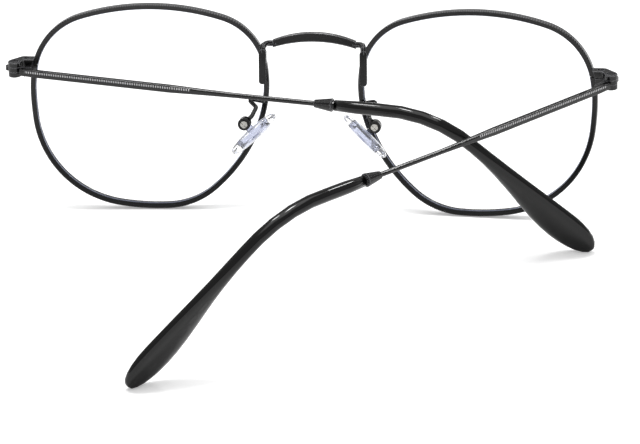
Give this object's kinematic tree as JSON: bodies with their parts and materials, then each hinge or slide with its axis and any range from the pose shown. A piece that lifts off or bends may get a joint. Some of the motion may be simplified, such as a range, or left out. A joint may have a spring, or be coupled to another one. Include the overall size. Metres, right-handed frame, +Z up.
{
  "type": "hexagonal eyeglasses",
  "caption": "Thin metal spectacles with rounded hexagonal rims, clear lenses, an arched bridge, nose pads on wire arms and folding temples with moulded curved tips.",
  "frame": {"origin": "On the floor, under the middle of the object's box, with the spectacles standing as pictured", "axes": "+X is the wearer's left, +Y runs back from the front towards the wearer's ears, +Z is up"},
  "size_m": [0.1357, 0.1012, 0.0463],
  "materials": {
    "black_metal": "satin black coated metal",
    "black_screw": "black screw heads",
    "plain_screw": "plain bright screw",
    "black_tip": "glossy black moulded plastic",
    "clear_lens": "clear uncoated lens",
    "clear_pad": "clear soft silicone",
    "pad_core": "stiff clear insert seen through the pad"
  },
  "bodies": {
    "front": {"bridge": "black_metal", "left_rim": "black_metal", "left_lens": "clear_lens", "left_endpiece_upper": "black_metal", "left_endpiece_lower": "black_metal", "left_rim_lock_screw": "black_screw", "left_hinge_screw": "black_screw", "left_pad_arm": "black_metal", "left_pad_box": "black_metal", "left_pad_screw": "plain_screw", "right_rim": "black_metal", "right_lens": "clear_lens", "right_endpiece_upper": "black_metal", "right_endpiece_lower": "black_metal", "right_rim_lock_screw": "black_screw", "right_hinge_screw": "black_screw", "right_pad_arm": "black_metal", "right_pad_box": "black_metal", "right_pad_screw": "plain_screw"},
    "temple_left": {"left_temple_hinge_leaf": "black_metal", "left_temple_arm": "black_metal", "left_temple_collar": "black_metal", "left_temple_tip": "black_tip"},
    "pad_left": {"left_nose_pad": "clear_pad", "left_pad_core": "pad_core"},
    "temple_right": {"right_temple_hinge_leaf": "black_metal", "right_temple_arm": "black_metal", "right_temple_collar": "black_metal", "right_temple_tip": "black_tip"},
    "pad_right": {"right_nose_pad": "clear_pad", "right_pad_core": "pad_core"}
  },
  "joints": [
    {"name": "left_temple_hinge", "type": "hinge", "parent": "front", "child": "temple_left", "pos_m": [0.066, -0.04121, 0.03306], "axis": [0, 0, 1], "range_deg": [-74.2, 6]},
    {"name": "right_temple_hinge", "type": "hinge", "parent": "front", "child": "temple_right", "pos_m": [-0.066, -0.04121, 0.03306], "axis": [0, 0, 1], "range_deg": [-3.11, 37.95]},
    {"name": "left_pad_rock", "type": "hinge", "parent": "front", "child": "pad_left", "pos_m": [0.01445, -0.0376, 0.02261], "axis": [0, 0.9871, 0.1599], "range_deg": [-10, 10]},
    {"name": "right_pad_rock", "type": "hinge", "parent": "front", "child": "pad_right", "pos_m": [-0.01445, -0.0376, 0.02261], "axis": [0, 0.9871, 0.1599], "range_deg": [-10, 10]}
  ],
  "couplings": [
    {"joint": "right_temple_hinge", "follows": "left_temple_hinge", "ratio": -0.51078}
  ]
}
